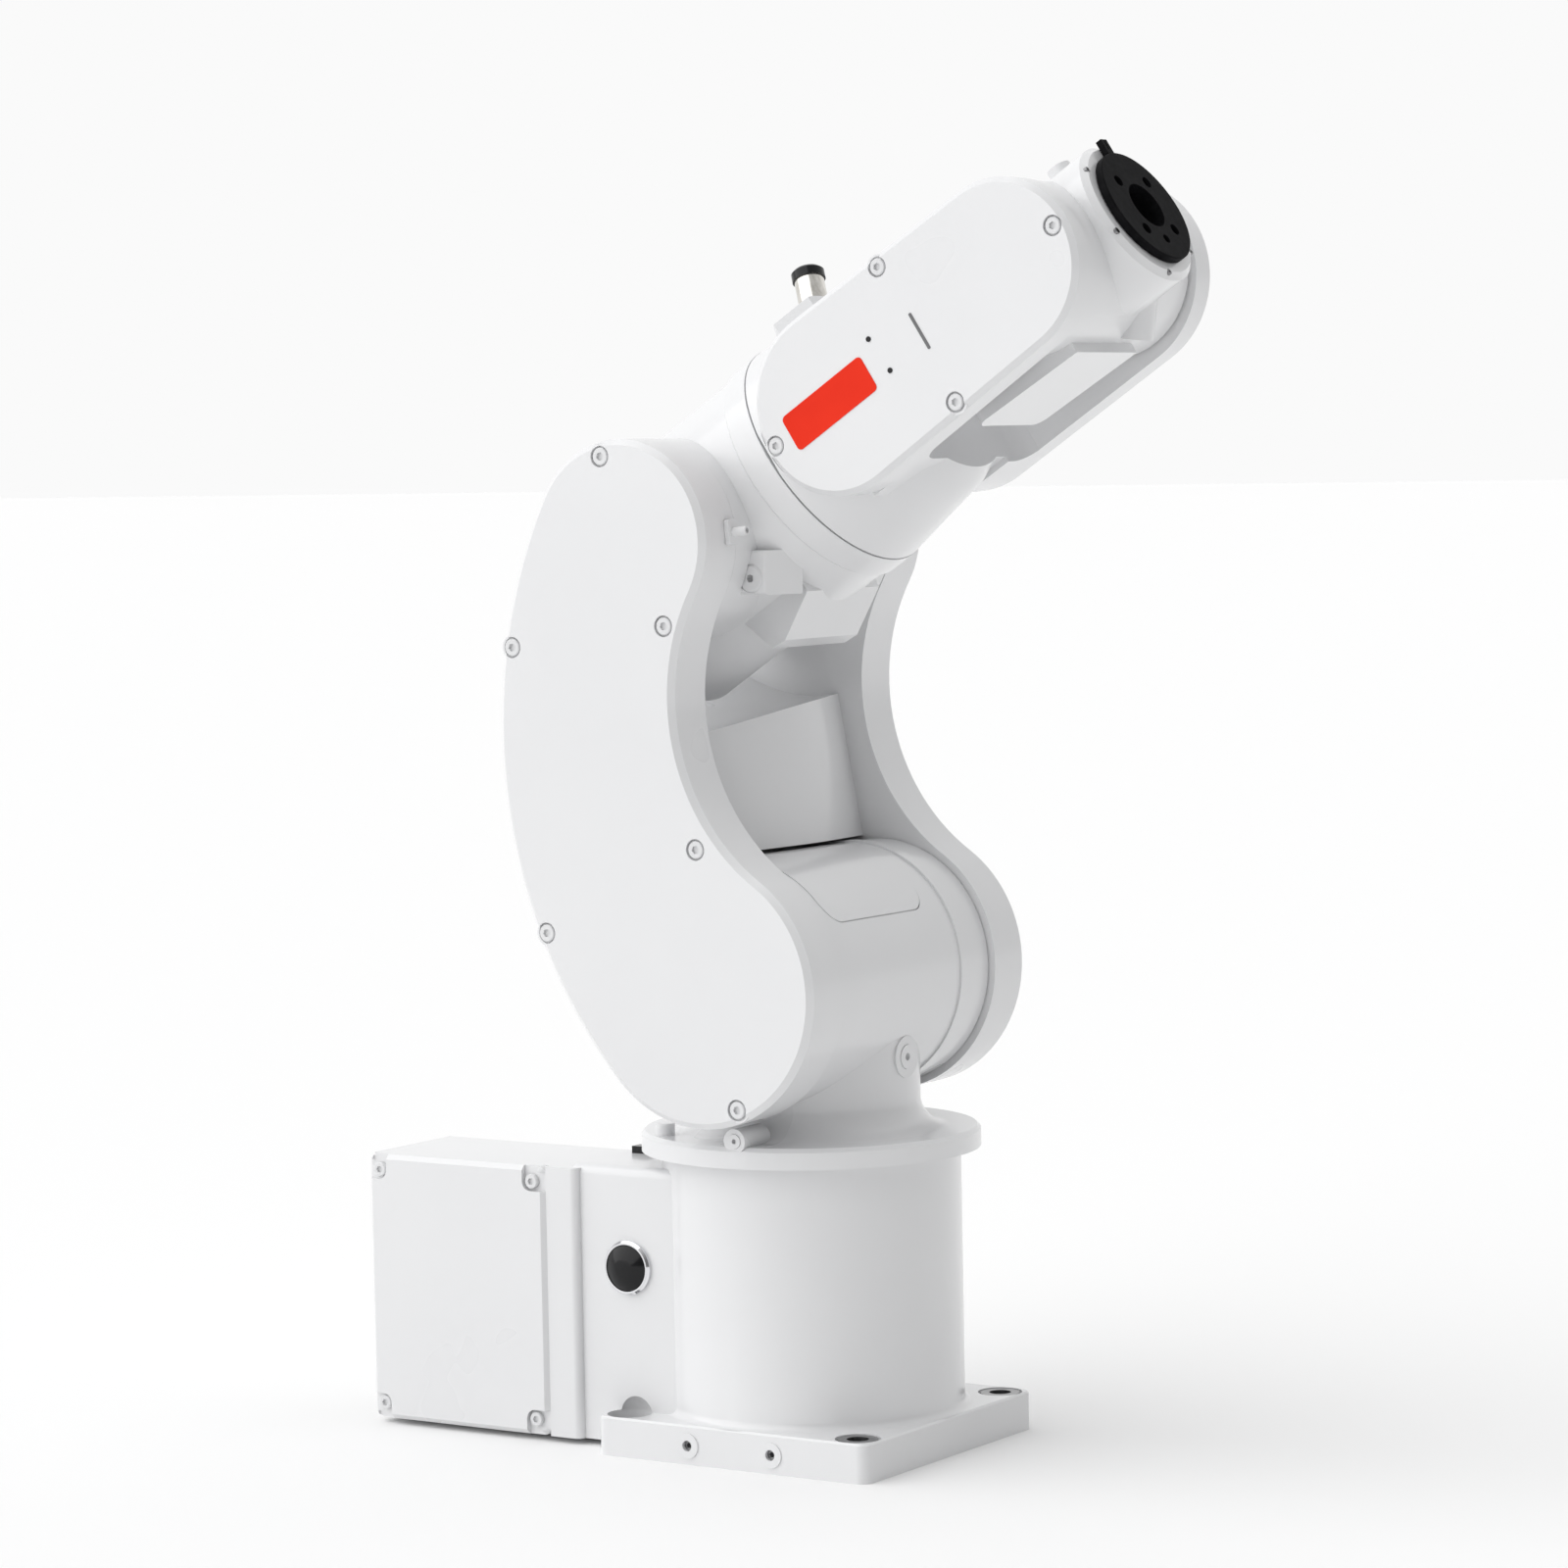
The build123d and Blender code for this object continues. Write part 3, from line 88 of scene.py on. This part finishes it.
def place_coords(tree, stretch=(1.0, 1.0, 1.0)):
    """The piece's own coordinates in metres, stretched along each axis."""
    coords = tree.nodes.new("ShaderNodeTexCoord")
    mapping = tree.nodes.new("ShaderNodeMapping")
    mapping.inputs["Scale"].default_value = stretch
    tree.links.new(coords.outputs["Object"], mapping.inputs["Vector"])
    return mapping.outputs["Vector"]


def noise(tree, vector, scale, detail=2.0, rough=0.5):
    """A noise that runs from 0 to 1 over the piece."""
    node = add_node(tree, "ShaderNodeTexNoise", Scale=scale, Detail=detail, Roughness=rough)
    tree.links.new(vector, node.inputs["Vector"])
    return node.outputs["Fac"]


def blend_colours(tree, factor, low, high):
    """A colour that runs from low to high as factor runs over the middle of its range."""
    ramp = tree.nodes.new("ShaderNodeValToRGB")
    start, end = ramp.color_ramp.elements
    start.position = RAMP_START
    end.position = RAMP_END
    start.color = (*low, 1)
    end.color = (*high, 1)
    tree.links.new(factor, ramp.inputs["Fac"])
    return ramp.outputs["Color"]


def spread(tree, factor, low, high):
    """A number that runs from low to high as factor runs from 0 to 1."""
    node = tree.nodes.new("ShaderNodeMapRange")
    node.inputs["To Min"].default_value = low
    node.inputs["To Max"].default_value = high
    tree.links.new(factor, node.inputs["Value"])
    return node.outputs["Result"]


def add_bump(tree, shader, height, strength, distance):
    """Bump the surface by height, over a depth of distance metres."""
    bump = add_node(tree, "ShaderNodeBump", Strength=strength, Distance=distance)
    tree.links.new(height, bump.inputs["Height"])
    tree.links.new(bump.outputs["Normal"], shader.inputs["Normal"])


def enamel(name, low, high, roughness=(0.24, 0.34), coat=0.5):
    """Gloss baked enamel: a faint orange peel, cloudy gloss and hardly any colour change."""
    material, tree, shader = new_material(name)
    where = place_coords(tree)
    cloud = noise(tree, where, ENAMEL_CLOUDS, detail=3.0)
    fine = noise(tree, where, ENAMEL_PEEL)
    tree.links.new(blend_colours(tree, cloud, low, high), shader.inputs["Base Color"])
    tree.links.new(spread(tree, cloud, *roughness), shader.inputs["Roughness"])
    shader.inputs["Coat Weight"].default_value = coat
    shader.inputs["Coat Roughness"].default_value = COAT_ROUGHNESS
    add_bump(tree, shader, fine, PEEL_STRENGTH, PEEL_DEPTH)
    return material


def machined(name, low, high, roughness=(0.22, 0.42), stretch=(60, 900, 60), metallic=1.0,
             shine=0.5):
    """Turned or brushed metal: fine streaks across one axis and a little uneven polish.

    stretch gives the streaks' noise features to a metre, one number for each axis.
    """
    material, tree, shader = new_material(name)
    streaks = noise(tree, place_coords(tree, stretch), 1.0, detail=3.0, rough=0.6)
    cloud = noise(tree, place_coords(tree), METAL_CLOUDS)
    tree.links.new(blend_colours(tree, streaks, low, high), shader.inputs["Base Color"])
    tree.links.new(spread(tree, cloud, *roughness), shader.inputs["Roughness"])
    shader.inputs["Metallic"].default_value = metallic
    shader.inputs["Specular IOR Level"].default_value = shine
    add_bump(tree, shader, streaks, STREAK_STRENGTH, STREAK_DEPTH)
    return material


def moulded(name, low, high, roughness=(0.3, 0.45), grain=1500.0, depth=0.00003, shine=0.5):
    """Moulded plastic or rubber; grain gives its fine noise features to a metre."""
    material, tree, shader = new_material(name)
    where = place_coords(tree)
    fine = noise(tree, where, grain)
    cloud = noise(tree, where, PLASTIC_CLOUDS)
    tree.links.new(blend_colours(tree, cloud, low, high), shader.inputs["Base Color"])
    tree.links.new(spread(tree, fine, *roughness), shader.inputs["Roughness"])
    shader.inputs["Specular IOR Level"].default_value = shine
    add_bump(tree, shader, fine, GRAIN_STRENGTH, depth)
    return material


MATERIALS = {
    "white_enamel": enamel("white_enamel", (0.735, 0.738, 0.748), (0.765, 0.768, 0.776)),
    "white_screws": enamel("white_screws", (0.68, 0.684, 0.695), (0.73, 0.734, 0.74),
                           roughness=(0.3, 0.4), coat=0.2),
    "steel": machined("steel", (0.20, 0.20, 0.205), (0.34, 0.34, 0.345)),
    "nickel": machined("nickel", (0.62, 0.60, 0.56), (0.80, 0.78, 0.74),
                       roughness=(0.10, 0.22), stretch=(500, 500, 40)),
    "chrome_trim": machined("chrome_trim", (0.70, 0.70, 0.72), (0.86, 0.86, 0.88),
                            roughness=(0.06, 0.14)),
    "black_oxide": machined("black_oxide", (0.004, 0.004, 0.0045), (0.010, 0.010, 0.011),
                            roughness=(0.45, 0.58), stretch=(300, 300, 300), metallic=0.0,
                            shine=0.03),
    "black_plastic": moulded("black_plastic", (0.004, 0.004, 0.005), (0.008, 0.008, 0.009),
                             roughness=(0.10, 0.18), grain=2500.0, depth=0.000005, shine=0.30),
    "connector_metal": machined("connector_metal", (0.50, 0.51, 0.53), (0.62, 0.63, 0.65)),
    "motor_black": moulded("motor_black", (0.02, 0.02, 0.022), (0.035, 0.035, 0.037)),
    "pulley_aluminium": machined("pulley_aluminium", (0.55, 0.56, 0.58), (0.68, 0.69, 0.70)),
    "belt_rubber": moulded("belt_rubber", (0.015, 0.015, 0.015), (0.03, 0.03, 0.03),
                           roughness=(0.7, 0.85), grain=2500.0),
    "accent_red": moulded("accent_red", (0.76, 0.022, 0.004), (0.82, 0.028, 0.006),
                          roughness=(0.45, 0.55), grain=900.0, depth=0.00001, shine=0.15),
    "accent_grey": moulded("accent_grey", (0.12, 0.12, 0.125), (0.15, 0.15, 0.155),
                           roughness=(0.35, 0.45)),
}

for part in frame["record"]["subparts"]:
    node = frame["nodes"][part["node"]]
    node.data.materials.clear()
    node.data.materials.append(MATERIALS[part["material_slot"]])


# ---------------------------------------------------------------- smooth shading, CAD nodes
CREASE_ANGLE = 24
WELD_DISTANCE = 0.000001


def smooth_by_angle_group(angle):
    """Geometry nodes that shade smooth, and keep edges sharper than angle, in radians, crisp."""
    group = bpy.data.node_groups.new("smooth_by_angle", "GeometryNodeTree")
    group.interface.new_socket("Geometry", in_out="INPUT", socket_type="NodeSocketGeometry")
    group.interface.new_socket("Geometry", in_out="OUTPUT", socket_type="NodeSocketGeometry")
    nodes, links = group.nodes, group.links
    start = nodes.new("NodeGroupInput")
    end = nodes.new("NodeGroupOutput")
    weld = nodes.new("GeometryNodeMergeByDistance")
    weld.inputs["Distance"].default_value = WELD_DISTANCE
    edge = nodes.new("GeometryNodeInputMeshEdgeAngle")
    compare = nodes.new("FunctionNodeCompare")
    compare.data_type = "FLOAT"
    compare.operation = "LESS_EQUAL"
    compare.inputs["B"].default_value = angle
    faces = nodes.new("GeometryNodeSetShadeSmooth")
    faces.domain = "FACE"
    edges = nodes.new("GeometryNodeSetShadeSmooth")
    edges.domain = "EDGE"
    links.new(start.outputs[0], weld.inputs["Geometry"])
    links.new(weld.outputs["Geometry"], faces.inputs["Geometry"])
    links.new(faces.outputs["Geometry"], edges.inputs["Geometry"])
    links.new(edge.outputs["Unsigned Angle"], compare.inputs["A"])
    links.new(compare.outputs["Result"], edges.inputs["Shade Smooth"])
    links.new(edges.outputs["Geometry"], end.inputs[0])
    return group


smoothing = smooth_by_angle_group(radians(CREASE_ANGLE))
for node in frame["nodes"].values():
    modifier = node.modifiers.new("smooth_by_angle", "NODES")
    modifier.node_group = smoothing


# ---------------------------------------------------------------- decals
DECAL_THICK = 0.00025
CORNER_STEPS = 8


def rounded_plate(name, width, height, corner, thick, material):
    """A thin plate with round corners in the XZ plane, its back at Y 0, its front towards -Y."""
    points = []
    for side_x, side_z, start in ((1, 1, 0), (-1, 1, 90), (-1, -1, 180), (1, -1, 270)):
        for step in range(CORNER_STEPS + 1):
            angle = radians(start + 90 * step / CORNER_STEPS)
            points.append((side_x * (width / 2 - corner) + corner * cos(angle),
                           side_z * (height / 2 - corner) + corner * sin(angle)))
    count = len(points)
    verts = [(x, 0, z) for x, z in points] + [(x, -thick, z) for x, z in points]
    faces = [list(range(count)), list(range(2 * count - 1, count - 1, -1))]
    faces += [[i, i + count, (i + 1) % count + count, (i + 1) % count] for i in range(count)]
    mesh = bpy.data.meshes.new(name)
    mesh.from_pydata(verts, [], faces)
    mesh.validate()
    mesh.materials.append(MATERIALS[material])
    piece = bpy.data.objects.new(name, mesh)
    bpy.context.scene.collection.objects.link(piece)
    return piece


def on_forearm_cover(piece, along, up):
    """Lay a plate on the forearm cover, at a place along the forearm and above its axis."""
    local = Matrix.Translation((along, FOREARM_COVER_FACE, up))
    rise = Matrix.Rotation(radians(-FOREARM_RISE), 4, "Y")
    piece.matrix_world = Matrix.Translation(AXIS_3) @ rise @ local
    bpy.context.view_layer.update()
    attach(piece, "forearm")


def decal(name, width, height, corner, material, along, up):
    """A thin plate on the forearm cover."""
    plate = rounded_plate(name, width, height, corner, DECAL_THICK, material)
    on_forearm_cover(plate, along, up)


decal("accent_block", width=0.044, height=0.0155, corner=0.002,
      material="accent_red", along=0.098, up=0.0)
decal("accent_bar", width=0.0013, height=0.0165, corner=0.0005,
      material="accent_grey", along=0.148, up=0.0)
# Painted shade: two flat black discs that stand in for the shade inside two small marker holes
# in the cover.
decal("painted_hole_shade_upper", width=0.0022, height=0.0022, corner=0.00108,
      material="black_plastic", along=0.127, up=0.0106)
decal("painted_hole_shade_lower", width=0.0022, height=0.0022, corner=0.00108,
      material="black_plastic", along=0.1284, up=-0.005)


# ---------------------------------------------------------------- studio
FLOOR_REACH = 30
FLOOR_COLOUR = (0.91, 0.91, 0.91, 1)
FLOOR_ROUGHNESS = 0.95
FLOOR_SHINE = 0.1

WALL_WHITE = (0.956, 0.956, 0.956, 1)
BRIGHT_SIDE = (-0.65, 0.50, 0.50)
# The light rises from dim to bright as a direction's dot product with BRIGHT_SIDE goes from the
# first of these to the second.
DIM_FACING = -0.6
BRIGHT_FACING = 0.5
DIM_WALL = 0.20
BRIGHT_WALL = 1.0

KEY_COMES_FROM = (-0.55, -0.80, 0.75)
KEY_STRENGTH = 1.65
KEY_SPREAD = 85


def studio_floor():
    """A plain pale matt floor."""
    mesh = bpy.data.meshes.new("floor")
    corners = [(side_x * FLOOR_REACH, side_y * FLOOR_REACH, 0)
               for side_x, side_y in ((-1, -1), (1, -1), (1, 1), (-1, 1))]
    mesh.from_pydata(corners, [], [(0, 1, 2, 3)])
    floor = bpy.data.objects.new("floor", mesh)
    bpy.context.scene.collection.objects.link(floor)
    material, _, shader = new_material("floor")
    shader.inputs["Base Color"].default_value = FLOOR_COLOUR
    shader.inputs["Roughness"].default_value = FLOOR_ROUGHNESS
    shader.inputs["Specular IOR Level"].default_value = FLOOR_SHINE
    mesh.materials.append(material)


def studio_world():
    """A white room: its ceiling and one wall are bright, the wall across from that is dimmer."""
    world = bpy.data.worlds.new("studio")
    world.use_nodes = True
    tree = world.node_tree
    tree.nodes.clear()
    coords = tree.nodes.new("ShaderNodeTexCoord")
    facing = tree.nodes.new("ShaderNodeVectorMath")
    facing.operation = "DOT_PRODUCT"
    facing.inputs[1].default_value = BRIGHT_SIDE
    tree.links.new(coords.outputs["Generated"], facing.inputs[0])
    level = tree.nodes.new("ShaderNodeMapRange")
    level.inputs["From Min"].default_value = DIM_FACING
    level.inputs["From Max"].default_value = BRIGHT_FACING
    level.inputs["To Min"].default_value = DIM_WALL
    level.inputs["To Max"].default_value = BRIGHT_WALL
    tree.links.new(facing.outputs["Value"], level.inputs["Value"])
    room = add_node(tree, "ShaderNodeBackground", Color=WALL_WHITE)
    tree.links.new(level.outputs["Result"], room.inputs["Strength"])
    output = tree.nodes.new("ShaderNodeOutputWorld")
    tree.links.new(room.outputs["Background"], output.inputs["Surface"])
    bpy.context.scene.world = world


def soft_sun(name, comes_from, strength, spread_angle):
    """A sun wide enough to cast soft shadows."""
    light = bpy.data.lights.new(name, "SUN")
    light.energy = strength
    light.angle = radians(spread_angle)
    lamp = bpy.data.objects.new(name, light)
    lamp.rotation_euler = Vector(comes_from).to_track_quat("Z", "Y").to_euler()
    bpy.context.scene.collection.objects.link(lamp)


studio_floor()
studio_world()
soft_sun("key", KEY_COMES_FROM, KEY_STRENGTH, KEY_SPREAD)
bpy.context.scene.view_settings.view_transform = "Standard"


# ---------------------------------------------------------------- camera
CAMERA_PLACE = (1.11384, -1.71245, 0.41299)
CAMERA_YAW = -33.279
CAMERA_DROP = 3.982
CAMERA_ROLL = -1.092
CAMERA_CLIP_END = 50
# The lens and the sensor are in millimetres.
CAMERA_LENS = 115.45
CAMERA_SENSOR = 36


def photo_camera():
    """The camera that was fitted to the photograph."""
    yaw, drop, roll = radians(CAMERA_YAW), radians(CAMERA_DROP), radians(CAMERA_ROLL)
    ahead = Vector((sin(yaw) * cos(drop), cos(yaw) * cos(drop), -sin(drop)))
    right = Vector((cos(yaw), -sin(yaw), 0))
    up = right.cross(ahead)
    right_rolled = right * cos(roll) + up * sin(roll)
    up_rolled = up * cos(roll) - right * sin(roll)
    turn = Matrix((right_rolled, up_rolled, -ahead)).transposed()
    lens = bpy.data.cameras.new("camera")
    lens.lens = CAMERA_LENS
    lens.sensor_width = CAMERA_SENSOR
    lens.clip_end = CAMERA_CLIP_END
    camera = bpy.data.objects.new("camera", lens)
    camera.matrix_world = Matrix.Translation(CAMERA_PLACE) @ turn.to_4x4()
    bpy.context.scene.collection.objects.link(camera)
    bpy.context.scene.camera = camera


photo_camera()
